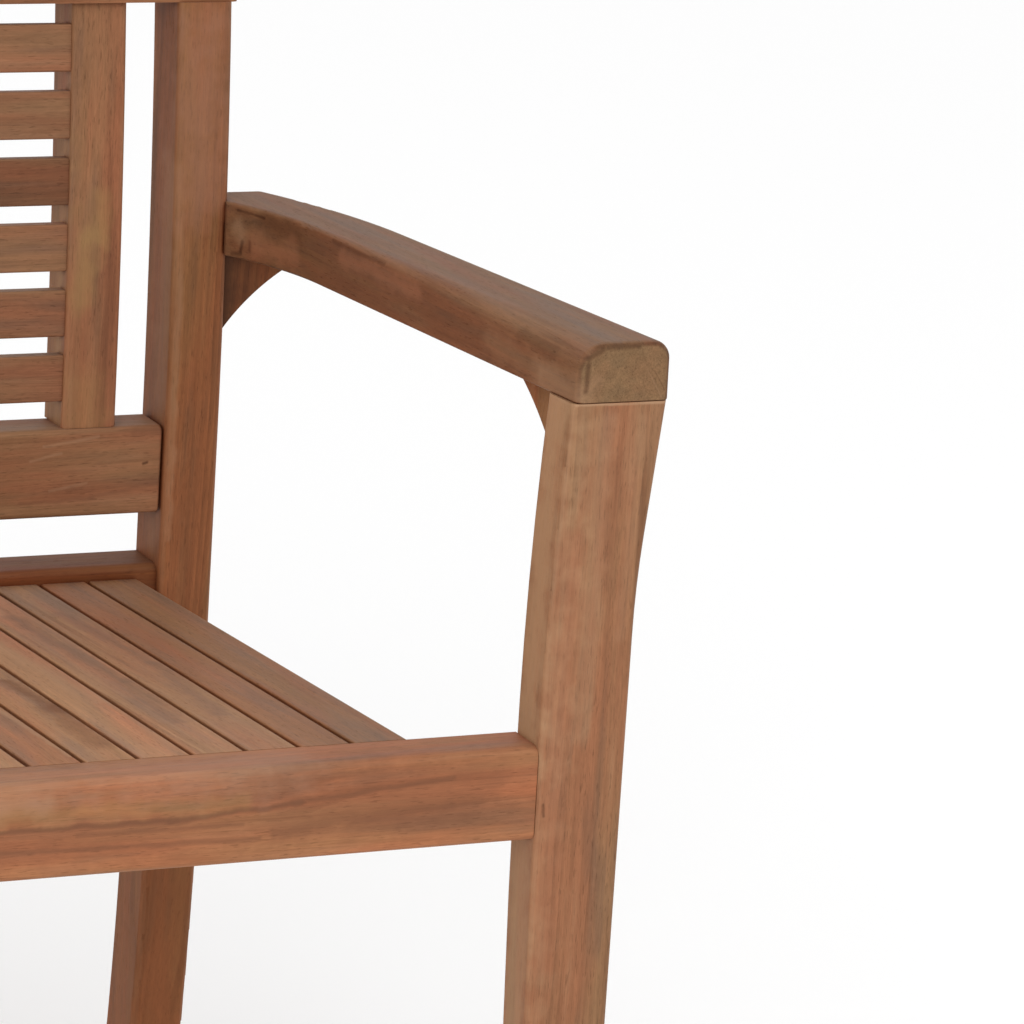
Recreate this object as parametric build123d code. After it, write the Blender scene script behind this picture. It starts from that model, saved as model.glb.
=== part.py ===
from build123d import *

# Two-seat teak garden bench with flared front legs, bowed rear posts and flat armrests.
#
# Every stick of timber is its own solid. Rails and uprights meet in mortise and tenon joints,
# the seat slats have tongues in grooved rails, and dowels and screws hold the rest.
#
# Frame: millimetres, +Z up, the bench faces -Y and its length runs along X.
# The origin is on the ground in the middle of the bench. Right means the +X side.
import os
from math import asin, atan, cos, degrees, radians, sin, sqrt, tan

# Fits
FIT = 0.15                  # clearance on each side of a tenon, a tongue or a pin
EASE = 1.2                  # small rounding on sawn edges

# Seat
SLAT_PITCH = 33.0
SLAT_GAP = 3.0
SLAT_COUNT = 25
SLAT_THICKNESS = 18.0
END_SLAT_WIDTH = 33.0       # the two outermost slats are a little wider
SEAT_HEIGHT = 435.0         # top of the seat at its front edge
SEAT_DEPTH = 438.5          # length of a slat between the two seat rails
SEAT_SLOPE = 3.0            # degrees, down towards the back
TONGUE_THICKNESS = 8.0
TONGUE_LENGTH = 9.0
SHOULDER_WASTE = 5.0        # length left on a seat stick before its ends are cut upright

# Front legs
DEPTH = 539.0               # front of the legs to the back of the rear feet
LEG_DEPTH = 35.0
LEG_INNER_X = 483.4         # narrowest inner position, at the waist
LEG_OUTER_X = 539.3
LEG_FOOT_WIDTH = 46.0
LEG_TAPER_START = 336.0     # below this height the inner edge runs straight to the foot
LEG_WAIST = 455.0
LEG_LOWER_RADIUS = 7000.0   # of the inner edge below the waist
LEG_UPPER_RADIUS = 2700.0   # and above it
LEG_FLARE_START = 500.0
LEG_FLARE_RADIUS = 600.0
LEG_FLARE_SLOPE = 0.1       # outward for each millimetre up, once the flare runs straight
LEG_ROUND = 4.0

# Rear posts
POST_INNER_X = 427.4
POST_OUTER_X = 464.3
POST_DEPTH = 48.6
POST_ROUND = 5.0
BOW_RADIUS = 3100.0         # the uprights of the back sweep back above a straight middle
BOW_HIGH = 501.0
FOOT_BOW_RADIUS = 1853.0    # and below it the rear feet sweep back too
BOW_LOW = 300.0

# Rails
FRONT_RAIL_HEIGHT = 57.0
FRONT_RAIL_DEPTH = 33.0
FRONT_RAIL_ROUNDS = (6.5, 0.8, 3.0, 4.5)    # front top, back top, back bottom, front bottom
REAR_RAIL_TOP = 421.0
REAR_RAIL_HEIGHT = 57.0
REAR_RAIL_DEPTH = 40.0
REAR_RAIL_ROUNDS = (6.0, 4.0, 3.0, 3.0)
LOWER_RAIL_BOTTOM = 456.5
LOWER_RAIL_TOP = 514.8
LOWER_RAIL_DEPTH = 35.5
LOWER_RAIL_INSET = 4.5      # behind the front of the posts
LOWER_RAIL_ROUNDS = (4.5, 3.5, 3.5, 3.5)
LOWER_RAIL_SHADOW_GAP = 0.9     # open line left between each end of this rail and its post
LOWER_RAIL_END_ROUND = 2.5
SIDE_RAIL_X = 397.0
SIDE_RAIL_WIDTH = 22.0
SIDE_RAIL_HEIGHT = 30.0
BEARER_WIDTH = 34.0
BEARER_HEIGHT = 22.0

# Crest rail
CREST_HEIGHT = 790.0        # where it sits on the front edge of the posts
CREST_HALF_LENGTH = 470.0
CREST_END_RISE = 68.0
CREST_MIDDLE_RISE = 94.0
CREST_DEPTH = 44.0
CREST_INSET = 3.0
CREST_ROUND = 8.0
CREST_CORNER = 20.0

# Back panels
STILE_WIDTH = 36.6
STILE_DEPTH = 36.0
STILE_INSET = 8.0           # behind the front of the posts
STILE_ROUND = 3.0
PANEL_GAP = 32.6            # post to panel, and between the two panels
BACK_SLAT_COUNT = 6
BACK_SLAT_FIRST = 532.0     # bottom of the lowest slat
BACK_SLAT_PITCH = 42.6
BACK_SLAT_HEIGHT = 30.5
BACK_SLAT_THICKNESS = 11.0
BACK_SLAT_INSET = 3.0       # behind the front of the stiles
BACK_SLAT_ROUND = 1.5

# Armrests
ARM_HEIGHT = 640.3          # underside at the front
ARM_SLOPE = 1.6             # degrees, down towards the back
ARM_THICKNESS = 35.2
ARM_LENGTH = 502.0
ARM_INNER_FRONT_X = 492.0
ARM_INNER_BEND = (483.5, 365.0)     # X, and distance from the front, where the inner edge turns in
ARM_OUTER_FRONT_X = 551.5
ARM_OUTER_BEND = (537.5, 345.0)
ARM_OUTER_REAR_X = 507.5
ARM_LAP = 2.6               # how far the arm laps over the front of the post
ARM_OUTER_ROUND = 11.0      # along the outer top edge
ARM_INNER_ROUND = 3.0       # along the inner top edge, from the bend back
ARM_NOSE_ROUND = 19.0       # what the inner rounding has grown to at the front
ARM_FRONT_ROUND = 5.0
ARM_REAR_ROUND = 2.0

# Brackets under the armrests
BRACKET_WIDTH = 30.0
BRACKET_NOSE = 4.0
FRONT_BRACKET_X = 506.6
FRONT_BRACKET_REACH = 82.0  # back from the leg
FRONT_BRACKET_DROP = 67.0   # down from the arm
REAR_BRACKET_INSET = 9.5    # behind the front of the post
REAR_BRACKET_THICKNESS = 25.0
REAR_BRACKET_REACH = 42.0   # out from the side of the post
REAR_BRACKET_DROP = 52.5
REAR_BRACKET_NOSE = 12.5    # height left at its outer end

# Fixings
DOWEL_RADIUS = 4.0
SCREW_RADIUS = 2.0
SCREW_HEAD_RADIUS = 4.0
SCREW_HEAD_DEPTH = 2.4
SCREW_TIP = 4.0
SCREW_BITE = 12.0           # how far a screw goes into a slat

# Worked out from the dimensions above
front_y = -DEPTH / 2
seat_y = front_y + LEG_DEPTH
foot_sweep = FOOT_BOW_RADIUS - sqrt(FOOT_BOW_RADIUS ** 2 - BOW_LOW ** 2)
post_y = DEPTH / 2 - foot_sweep - POST_DEPTH
rear_rail_y = seat_y + SEAT_DEPTH * cos(radians(SEAT_SLOPE))
lower_rail_y = post_y + LOWER_RAIL_INSET
stile_y = post_y + STILE_INSET
rear_bracket_y = post_y + REAR_BRACKET_INSET
rear_bracket_top = ARM_HEIGHT - tan(radians(ARM_SLOPE)) * (rear_bracket_y - front_y)
half_seat = SLAT_PITCH * (SLAT_COUNT - 2) / 2 + SLAT_GAP / 2 + END_SLAT_WIDTH
outer_stile_x = POST_INNER_X - PANEL_GAP - STILE_WIDTH
inner_stile_x = PANEL_GAP / 2
panel_x = (inner_stile_x + STILE_WIDTH, outer_stile_x)
tongue_z = (-(SLAT_THICKNESS + TONGUE_THICKNESS) / 2, -(SLAT_THICKNESS - TONGUE_THICKNESS) / 2)
bearer_y = (SEAT_DEPTH / 2 - BEARER_WIDTH / 2, SEAT_DEPTH / 2 + BEARER_WIDTH / 2)


# ---------------------------------------------------------------- shapes and planes
def block(x, y, z):
    """A box between the given limits along X, Y and Z."""
    limits = (x, y, z)
    size = [high - low for low, high in limits]
    centre = [(high + low) / 2 for low, high in limits]
    return Pos(*centre) * Box(*size)


def grown(x, y, z):
    """The same box with the clearance of a joint added on every side."""
    return block(*[(low - FIT, high + FIT) for low, high in (x, y, z)])


def mirrored(solid):
    """The left-hand twin of a right-hand solid."""
    return mirror(solid, about=Plane.YZ)


def rising_edges(solid):
    """The edges that run up an upright."""
    return solid.edges().filter_by(lambda edge: abs(edge.tangent_at(0.5).Z) > 0.5)


def sloped(y, z, slope):
    """A plane across the bench that falls towards the back by the given angle."""
    angle = radians(slope)
    return Plane(origin=(0, y, z), x_dir=(1, 0, 0), z_dir=(0, sin(angle), cos(angle)))


def arc_drop(radius, run):
    """How far an arc has left its tangent after a run along it."""
    return radius - sqrt(radius ** 2 - run ** 2)


def sweep_back(z):
    """How far an upright of the back has swept back at a height."""
    if z < BOW_LOW:
        return arc_drop(FOOT_BOW_RADIUS, BOW_LOW - z)
    return arc_drop(BOW_RADIUS, max(z - BOW_HIGH, 0))


def back_plane(y, z):
    """The plane square to an upright of the back at a height above the seat."""
    tilt = degrees(asin((z - BOW_HIGH) / BOW_RADIUS))
    return sloped(y + sweep_back(z), z, tilt)


seat_plane = sloped(seat_y, SEAT_HEIGHT, SEAT_SLOPE)
arm_plane = sloped(front_y, ARM_HEIGHT, ARM_SLOPE)
crest_plane = back_plane(post_y, CREST_HEIGHT)


def back_slat_plane(index):
    """The plane through the middle of a back slat, its origin on the slat's front face."""
    z = BACK_SLAT_FIRST + BACK_SLAT_HEIGHT / 2 + index * BACK_SLAT_PITCH
    return back_plane(stile_y + BACK_SLAT_INSET, z)


# ---------------------------------------------------------------- joints
# A tenon is a box on the right-hand side, used as it is on one piece and grown on the other.
# Those of the front rail, the rear seat rail and the lower back rail are in the bench's frame.
FRONT_TENON = ((470, LEG_INNER_X + 30), (seat_y - 25, seat_y - 10), (SEAT_HEIGHT - 48, SEAT_HEIGHT - 10))
REAR_TENON = (
    (410, POST_OUTER_X - 8),
    (rear_rail_y + 11, rear_rail_y + 27),
    (REAR_RAIL_TOP - 47, REAR_RAIL_TOP - 9),
)
LOWER_TENON = (
    (410, POST_OUTER_X - 8),
    (lower_rail_y + 6, lower_rail_y + 20),
    (LOWER_RAIL_BOTTOM + 9, LOWER_RAIL_TOP - 9),
)
# The leg's is on the arm plane, the post's on the crest plane, the next two on the seat plane.
LEG_TENON = ((508, 536), (9, 26), (-5, 20))
POST_TENON = ((437, 455), (12, 38), (-5, 26))
SIDE_RAIL_TENON = (
    (SIDE_RAIL_X - 6, SIDE_RAIL_X + 6),
    (-11, SEAT_DEPTH + 11),
    (-SLAT_THICKNESS - 22, -SLAT_THICKNESS - 6),
)
BEARER_TENON = (
    (SIDE_RAIL_X - 17, SIDE_RAIL_X + 3),
    (bearer_y[0] + 9, bearer_y[1] - 9),
    (-SLAT_THICKNESS - 17, -SLAT_THICKNESS - 6),
)
# On the plane of its own slat.
BACK_SLAT_TENON = (
    (panel_x[0] - 12, panel_x[1] + 12),
    (2, BACK_SLAT_THICKNESS - 2),
    (4 - BACK_SLAT_HEIGHT / 2, BACK_SLAT_HEIGHT / 2 - 4),
)


def stile_foot_tenon(x):
    """Tenon at the foot of a stile, in the bench's frame."""
    z = (LOWER_RAIL_TOP - 20, LOWER_RAIL_TOP + 5)
    return ((x + 5, x + STILE_WIDTH - 5), (lower_rail_y + 7, lower_rail_y + 20), z)


def stile_head_tenon(x):
    """Tenon at the head of a stile, on the crest plane."""
    return ((x + 5, x + STILE_WIDTH - 5), (STILE_INSET + 6, STILE_INSET + 22), (-5, 18))


def with_tenons(rail, tenon):
    """A rail with the same tenon at both ends."""
    return rail + block(*tenon) + mirrored(block(*tenon))


def cut_both_sides(solid, tool):
    """A solid with a right-hand cut and its mirror image taken out."""
    return solid - tool - mirrored(tool)


# ---------------------------------------------------------------- fixings
BASE = (Align.CENTER, Align.CENTER, Align.MIN)


def pin(start, direction, length, grow=0.0):
    """A straight dowel from a point along a direction."""
    return Plane(origin=start, z_dir=direction) * Cylinder(DOWEL_RADIUS + grow, length + grow, align=BASE)


def screw(start, direction, length, grow=0.0):
    """A countersunk wood screw, its head flush at the start point."""
    shank_length = length - SCREW_TIP + grow
    shank = Cylinder(SCREW_RADIUS + grow, shank_length, align=BASE)
    head = Cone(SCREW_HEAD_RADIUS + grow, SCREW_RADIUS + grow, SCREW_HEAD_DEPTH, align=BASE)
    tip = Pos(0, 0, shank_length) * Cone(SCREW_RADIUS + grow, 0.3 + grow, SCREW_TIP, align=BASE)
    return Plane(origin=start, z_dir=direction) * (shank + head + tip)


def slat_centres():
    """X of the middle of each seat slat, left to right."""
    middle = (SLAT_COUNT - 1) / 2
    centres = [(index - middle) * SLAT_PITCH for index in range(SLAT_COUNT)]
    shift = (END_SLAT_WIDTH - SLAT_PITCH + SLAT_GAP) / 2
    centres[0] -= shift
    centres[-1] += shift
    return centres


def slat_screws(x):
    """Start and length of each screw that comes up into the slat at x."""
    on_side_rail = abs(x) > SIDE_RAIL_X - SIDE_RAIL_WIDTH / 2
    height = SIDE_RAIL_HEIGHT if on_side_rail else BEARER_HEIGHT
    places = (0.25, 0.75) if on_side_rail else (0.5,)
    low = -SLAT_THICKNESS - height
    starts = [seat_plane.from_local_coords(Vector(x, SEAT_DEPTH * place, low)) for place in places]
    return [(start, height + SCREW_BITE) for start in starts]


def screw_holes(x):
    """The holes for the screws of the slat at x."""
    return [screw(start, seat_plane.z_dir, length, FIT) for start, length in slat_screws(x)]


def driven_screw(start, length):
    """A screw with the cross recess for the driver in its head."""
    recess = Box(4.2, 0.9, 2.6) + Box(0.9, 4.2, 2.6)
    plane = Plane(origin=start, z_dir=seat_plane.z_dir)
    return screw(start, seat_plane.z_dir, length) - plane * recess


def dowels():
    """Start, direction, length and the pieces joined, for each dowel on the right-hand side."""
    back_y = post_y + POST_DEPTH
    front_bracket = FRONT_BRACKET_X + BRACKET_WIDTH / 2
    bracket_y = rear_bracket_y + REAR_BRACKET_THICKNESS / 2
    bracket_z = rear_bracket_top - REAR_BRACKET_DROP / 2
    crest_start = crest_plane.from_local_coords(Vector(446, CREST_INSET + CREST_DEPTH, 12))
    forward = (0, -1, 0)
    inward = (-1, 0, 0)
    up = (0, 0, 1)
    return [
        ((LEG_INNER_X + 15, seat_y, SEAT_HEIGHT - 29), forward, 28, ("front_leg", "front_rail")),
        ((POST_INNER_X + 12, back_y, REAR_RAIL_TOP - 28), forward, 34, ("rear_post", "rear_seat_rail")),
        ((POST_INNER_X + 12, back_y, LOWER_RAIL_TOP - 30), forward, 42, ("rear_post", "lower_back_rail")),
        (crest_start, -crest_plane.y_dir, 30, ("rear_post", "crest_rail")),
        ((POST_OUTER_X + 24, post_y + 11, ARM_HEIGHT + 9), inward, 44, ("rear_post", "armrest")),
        ((POST_OUTER_X + 24, post_y + 27, ARM_HEIGHT + 9), inward, 44, ("rear_post", "armrest")),
        ((front_bracket, seat_y + 25, ARM_HEIGHT - 23), up, 36, ("arm_bracket_front", "armrest")),
        ((front_bracket, seat_y + 14, ARM_HEIGHT - 40), forward, 28, ("arm_bracket_front", "front_leg")),
        ((POST_OUTER_X + 26, bracket_y, bracket_z + 9), up, 30, ("arm_bracket_rear", "armrest")),
        ((POST_OUTER_X + 14, bracket_y, bracket_z), inward, 34, ("arm_bracket_rear", "rear_post")),
    ]


# ---------------------------------------------------------------- seat
def seat_stick(x, width, z, eased):
    """A stick on the slope of the seat, cut upright at each end to butt against the seat rails."""
    half = width / 2
    stick = block((x - half, x + half), (-SHOULDER_WASTE, SEAT_DEPTH + SHOULDER_WASTE), z)
    edges = stick.edges().filter_by(Axis.Y).sort_by(Axis.Z)
    stick = fillet(edges[-2:] if eased == "top" else edges[:2], EASE)
    room = block((-half_seat, half_seat), (seat_y, rear_rail_y), (0, SEAT_HEIGHT + 1))
    return (seat_plane * stick) & room


def seat_slat(x, width):
    """One slat: upright ends between the rails, eased top edges and a tongue at each end."""
    slat = seat_stick(x, width, (-SLAT_THICKNESS, 0), "top")
    tongue_x = (x - width / 2 + 2, x + width / 2 - 2)
    slat += seat_plane * block(tongue_x, (-TONGUE_LENGTH, SEAT_DEPTH + TONGUE_LENGTH), tongue_z)
    for hole in screw_holes(x):
        slat -= hole
    return slat


def side_rail():
    """Short rail under the outermost slat, tenoned into both seat rails."""
    z = (-SLAT_THICKNESS - SIDE_RAIL_HEIGHT, -SLAT_THICKNESS)
    body = seat_stick(SIDE_RAIL_X, SIDE_RAIL_WIDTH, z, "bottom")
    body += seat_plane * block(*SIDE_RAIL_TENON)
    body -= seat_plane * grown(*BEARER_TENON)
    for hole in screw_holes(slat_centres()[-1]):
        body -= hole
    return body


def seat_bearer():
    """Long bearer under the middle of the slats, from side rail to side rail."""
    half = SIDE_RAIL_X - SIDE_RAIL_WIDTH / 2
    body = block((-half, half), bearer_y, (-SLAT_THICKNESS - BEARER_HEIGHT, -SLAT_THICKNESS))
    body = fillet(body.edges().filter_by(Axis.X).sort_by(Axis.Z)[:2], 2 * EASE)
    bearer = seat_plane * with_tenons(body, BEARER_TENON)
    for x in slat_centres()[1:-1]:
        for hole in screw_holes(x):
            bearer -= hole
    return bearer


# ---------------------------------------------------------------- uprights
def leg_blank():
    """Square-edged front leg: tapered foot, waist at the seat, flared outer edge above it."""
    top = ARM_HEIGHT + LEG_ROUND
    foot = (LEG_OUTER_X - LEG_FOOT_WIDTH, 0)
    taper = (LEG_INNER_X + arc_drop(LEG_LOWER_RADIUS, LEG_WAIST - LEG_TAPER_START), LEG_TAPER_START)
    waist = (LEG_INNER_X, LEG_WAIST)
    head = (LEG_INNER_X + arc_drop(LEG_UPPER_RADIUS, top - LEG_WAIST), top)
    flare_rise = LEG_FLARE_RADIUS * sin(atan(LEG_FLARE_SLOPE))
    flare_start = (LEG_OUTER_X, LEG_FLARE_START)
    flare_end = (LEG_OUTER_X + arc_drop(LEG_FLARE_RADIUS, flare_rise), LEG_FLARE_START + flare_rise)
    outer_head = (flare_end[0] + LEG_FLARE_SLOPE * (top - flare_end[1]), top)
    outer_foot = (LEG_OUTER_X, 0)
    outline = [
        Line(foot, taper),
        TangentArc([waist, taper], tangent=(0, -1)),
        TangentArc([waist, head], tangent=(0, 1)),
        Line(head, outer_head),
        Line(outer_head, flare_end),
        TangentArc([flare_start, flare_end], tangent=(0, 1)),
        Line(flare_start, outer_foot),
        Line(outer_foot, foot),
    ]
    face = make_face(Curve() + outline)
    return Pos(0, front_y, 0) * extrude(Plane.XZ * face, amount=-LEG_DEPTH)


def eased_foot(upright):
    """An upright with the edges of its foot chamfered."""
    return chamfer(upright.faces().sort_by(Axis.Z)[0].edges(), EASE)


def front_leg():
    """Right front leg, with its mortise for the front rail and a stub tenon for the arm."""
    leg = leg_blank()
    leg = fillet(rising_edges(leg), LEG_ROUND)
    leg = split(leg, bisect_by=arm_plane, keep=Keep.BOTTOM)
    leg = eased_foot(leg)
    leg += arm_plane * block(*LEG_TENON)
    return leg - grown(*FRONT_TENON)


def upright(x, y, depth, low, high):
    """Upright of the back with rounded edges, following the bow between two heights."""
    heights = [low, *[z for z in (BOW_LOW, BOW_HIGH) if low < z < high], high]
    lines = []
    for front in (y, y + depth):
        for start, end in zip(heights, heights[1:]):
            middle = (start + end) / 2
            points = [(front + sweep_back(z), z) for z in (start, middle, end)]
            straight = sweep_back(middle) == 0
            lines.append(Line(points[0], points[2]) if straight else ThreePointArc(*points))
    for z in (low, high):
        lines.append(Line((y + sweep_back(z), z), (y + depth + sweep_back(z), z)))
    face = make_face(Curve() + lines)
    return Pos(x[0], 0, 0) * extrude(Plane.YZ * face, amount=x[1] - x[0])


def rounded_post(grow=0.0):
    """The bowed post, a little larger where a housing is cut around it."""
    x = (POST_INNER_X - grow, POST_OUTER_X + grow)
    post = upright(x, post_y - grow, POST_DEPTH + 2 * grow, 0, CREST_HEIGHT + 20)
    return fillet(rising_edges(post), POST_ROUND)


def rear_post():
    """Right rear post, mortised for its rails, with a tenon for the crest rail."""
    post = split(rounded_post(), bisect_by=crest_plane, keep=Keep.BOTTOM)
    post = eased_foot(post)
    post += crest_plane * block(*POST_TENON)
    return post - grown(*REAR_TENON) - grown(*LOWER_TENON)


def stile(x):
    """Upright at one side of a back panel, mortised for the slats."""
    body = upright((x, x + STILE_WIDTH), stile_y, STILE_DEPTH, LOWER_RAIL_TOP, CREST_HEIGHT + 20)
    body = fillet(rising_edges(body), STILE_ROUND)
    body = split(body, bisect_by=crest_plane, keep=Keep.BOTTOM)
    body += block(*stile_foot_tenon(x))
    body += crest_plane * block(*stile_head_tenon(x))
    for index in range(BACK_SLAT_COUNT):
        body -= back_slat_plane(index) * grown(*BACK_SLAT_TENON)
    return body


def back_slat(index):
    """One horizontal slat of the right-hand back panel, with a tenon at each end."""
    half = BACK_SLAT_HEIGHT / 2
    body = block(panel_x, (0, BACK_SLAT_THICKNESS), (-half, half))
    body = fillet(body.edges().filter_by(Axis.X), BACK_SLAT_ROUND)
    return back_slat_plane(index) * (body + block(*BACK_SLAT_TENON))


# ---------------------------------------------------------------- rails
def rail(half_length, y, z, rounds):
    """A straight rail along X; rounds are its front top, back top, back bottom and front bottom."""
    corners = [(y[0], z[1]), (y[1], z[1]), (y[1], z[0]), (y[0], z[0])]
    section = make_face(Polyline(*corners, close=True))
    for corner, radius in zip(corners, rounds):
        section = fillet(section.vertices().sort_by_distance(corner)[0], radius)
    return Pos(-half_length, 0, 0) * extrude(Plane.YZ * section, amount=2 * half_length)


def cut_for_seat(solid):
    """A seat rail with the groove for the slats and the mortises for the side rails."""
    groove = grown(
        (1 - half_seat, half_seat - 1),
        (-TONGUE_LENGTH, SEAT_DEPTH + TONGUE_LENGTH),
        tongue_z,
    )
    return cut_both_sides(solid - seat_plane * groove, seat_plane * grown(*SIDE_RAIL_TENON))


def front_rail():
    """Front seat rail between the legs, its shoulders cut to the curve of each leg."""
    y = (seat_y - FRONT_RAIL_DEPTH, seat_y)
    z = (SEAT_HEIGHT - FRONT_RAIL_HEIGHT, SEAT_HEIGHT)
    body = cut_both_sides(rail(LEG_INNER_X + 20, y, z, FRONT_RAIL_ROUNDS), leg_blank())
    return cut_for_seat(with_tenons(body, FRONT_TENON))


def rear_seat_rail():
    """Rear seat rail between the posts."""
    y = (rear_rail_y, rear_rail_y + REAR_RAIL_DEPTH)
    z = (REAR_RAIL_TOP - REAR_RAIL_HEIGHT, REAR_RAIL_TOP)
    return cut_for_seat(with_tenons(rail(POST_INNER_X, y, z, REAR_RAIL_ROUNDS), REAR_TENON))


def lower_back_rail():
    """Rail under the back panels, mortised for the feet of the stiles."""
    y = (lower_rail_y, lower_rail_y + LOWER_RAIL_DEPTH)
    z = (LOWER_RAIL_BOTTOM, LOWER_RAIL_TOP)
    body = rail(POST_INNER_X - LOWER_RAIL_SHADOW_GAP, y, z, LOWER_RAIL_ROUNDS)
    ends = body.faces().sort_by(Axis.X)
    body = fillet(ends[0].edges() + ends[-1].edges(), LOWER_RAIL_END_ROUND)
    body = with_tenons(body, LOWER_TENON)
    for x in (outer_stile_x, inner_stile_x):
        body = cut_both_sides(body, grown(*stile_foot_tenon(x)))
    return body


def crest_rail():
    """Arched crest rail on top of the posts and stiles."""
    end = CREST_HALF_LENGTH
    outline = [
        Line((-end, 0), (end, 0)),
        Line((end, 0), (end, CREST_END_RISE)),
        ThreePointArc((end, CREST_END_RISE), (0, CREST_MIDDLE_RISE), (-end, CREST_END_RISE)),
        Line((-end, CREST_END_RISE), (-end, 0)),
    ]
    face = make_face(Curve() + outline)
    face = fillet(face.vertices().sort_by(Axis.Y)[-2:], CREST_CORNER)
    body = Pos(0, CREST_INSET, 0) * extrude(Plane.XZ * face, amount=-CREST_DEPTH)
    outer_edges = body.edges().filter_by(lambda edge: abs(edge.tangent_at(0.5).Y) < 0.5)
    body = fillet(outer_edges.filter_by(lambda edge: edge.center().Z > EASE), CREST_ROUND)
    body = cut_both_sides(body, grown(*POST_TENON))
    for x in (outer_stile_x, inner_stile_x):
        body = cut_both_sides(body, grown(*stile_head_tenon(x)))
    return crest_plane * body


# ---------------------------------------------------------------- armrests
def corner_waste(x, y, radius):
    """Section of what is planed off the inner top corner of the arm at a place along it."""
    z = ARM_THICKNESS
    middle = radius * (1 - sqrt(0.5))
    outline = [
        Line((x - 1, z + 1), (x + radius, z + 1)),
        Line((x + radius, z + 1), (x + radius, z)),
        ThreePointArc((x + radius, z), (x + middle, z - middle), (x, z - radius)),
        Line((x, z - radius), (x - 1, z - radius)),
        Line((x - 1, z - radius), (x - 1, z + 1)),
    ]
    return Pos(0, y, 0) * (Plane.XZ * make_face(Curve() + outline))


def nose_waste():
    """The tapered rounding of the inner top edge, from nothing at the bend to full at the front."""
    front = corner_waste(ARM_INNER_FRONT_X, 0, ARM_NOSE_ROUND)
    bend = corner_waste(*ARM_INNER_BEND, ARM_INNER_ROUND - 1)
    return loft([front, bend], ruled=True)


def arm_blank():
    """Armrest on the arm plane: tapers in plan, curves in to the post, rounded all over."""
    lap = (POST_OUTER_X - ARM_LAP, post_y - front_y)
    inner_front = (ARM_INNER_FRONT_X, 0)
    outer_front = (ARM_OUTER_FRONT_X, 0)
    inner_run = (ARM_INNER_BEND[0] - ARM_INNER_FRONT_X, ARM_INNER_BEND[1])
    outer_run = (ARM_OUTER_BEND[0] - ARM_OUTER_FRONT_X, ARM_OUTER_BEND[1])
    inner_rear = (lap[0], ARM_LENGTH)
    outer_rear = (ARM_OUTER_REAR_X, ARM_LENGTH)
    outline = [
        Line(inner_front, ARM_INNER_BEND),
        TangentArc([ARM_INNER_BEND, lap], tangent=inner_run),
        Line(lap, inner_rear),
        Line(inner_rear, outer_rear),
        TangentArc([ARM_OUTER_BEND, outer_rear], tangent=outer_run),
        Line(ARM_OUTER_BEND, outer_front),
        Line(outer_front, inner_front),
    ]
    blank = extrude(make_face(Curve() + outline), amount=ARM_THICKNESS)

    def runs_along(edge):
        return abs(edge.tangent_at(0.5).Y) > 0.9 and edge.center().Y < lap[1]

    def on_top(edge):
        return edge.center().Z > EASE

    def inside(edge):
        return edge.center().X < ARM_INNER_FRONT_X

    sides = blank.edges().filter_by(runs_along).filter_by(on_top)
    blank = fillet(sides.filter_by(lambda edge: not inside(edge)), ARM_OUTER_ROUND)
    sides = blank.edges().filter_by(runs_along).filter_by(on_top)
    blank = fillet(sides.filter_by(inside), ARM_INNER_ROUND)
    blank -= nose_waste()
    for end, radius in ((Axis.Y, ARM_FRONT_ROUND), (-Axis.Y, ARM_REAR_ROUND)):
        edges = blank.faces().sort_by(end)[0].edges()
        blank = fillet(edges.filter_by(on_top), radius)
    return fillet(blank.faces().sort_by(Axis.Z)[0].edges(), EASE)


def armrest():
    """Right armrest, housed round the outer front corner of the post."""
    arm = arm_plane * (arm_blank() - grown(*LEG_TENON))
    return arm - rounded_post(FIT)


def under_arm(solid):
    """A bracket blank cut to fit under the arm."""
    return split(solid, bisect_by=arm_plane, keep=Keep.BOTTOM)


def front_bracket():
    """Concave bracket behind the front leg, under the arm."""
    reach = seat_y + FRONT_BRACKET_REACH
    foot = ARM_HEIGHT - FRONT_BRACKET_DROP
    hollow = (seat_y + 48.5, ARM_HEIGHT - 23)
    outline = [
        Line((seat_y, ARM_HEIGHT), (reach, ARM_HEIGHT)),
        Line((reach, ARM_HEIGHT), (reach, ARM_HEIGHT - BRACKET_NOSE)),
        ThreePointArc((reach, ARM_HEIGHT - BRACKET_NOSE), hollow, (seat_y + BRACKET_NOSE, foot)),
        Line((seat_y + BRACKET_NOSE, foot), (seat_y, foot)),
        Line((seat_y, foot), (seat_y, ARM_HEIGHT)),
    ]
    face = make_face(Curve() + outline)
    return under_arm(Pos(FRONT_BRACKET_X, 0, 0) * extrude(Plane.YZ * face, amount=BRACKET_WIDTH))


def rear_bracket():
    """Concave bracket on the outer side of the post, under the arm."""
    tip = POST_OUTER_X + REAR_BRACKET_REACH
    foot = rear_bracket_top - REAR_BRACKET_DROP
    nose = rear_bracket_top - REAR_BRACKET_NOSE
    hollow = (POST_OUTER_X + REAR_BRACKET_REACH / 2, rear_bracket_top - REAR_BRACKET_DROP * 0.545)
    outline = [
        Line((POST_OUTER_X, foot), (POST_OUTER_X, ARM_HEIGHT)),
        Line((POST_OUTER_X, ARM_HEIGHT), (tip, ARM_HEIGHT)),
        Line((tip, ARM_HEIGHT), (tip, nose)),
        ThreePointArc((tip, nose), hollow, (POST_OUTER_X, foot)),
    ]
    face = make_face(Curve() + outline)
    return under_arm(Pos(0, rear_bracket_y, 0) * extrude(Plane.XZ * face, amount=-REAR_BRACKET_THICKNESS))


# ---------------------------------------------------------------- assembly
def paired_parts():
    """The right-hand pieces that have a mirror twin, by name."""
    parts = {
        "front_leg": front_leg(),
        "rear_post": rear_post(),
        "armrest": armrest(),
        "arm_bracket_front": front_bracket(),
        "arm_bracket_rear": rear_bracket(),
        "side_rail": side_rail(),
    }
    return parts


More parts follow.
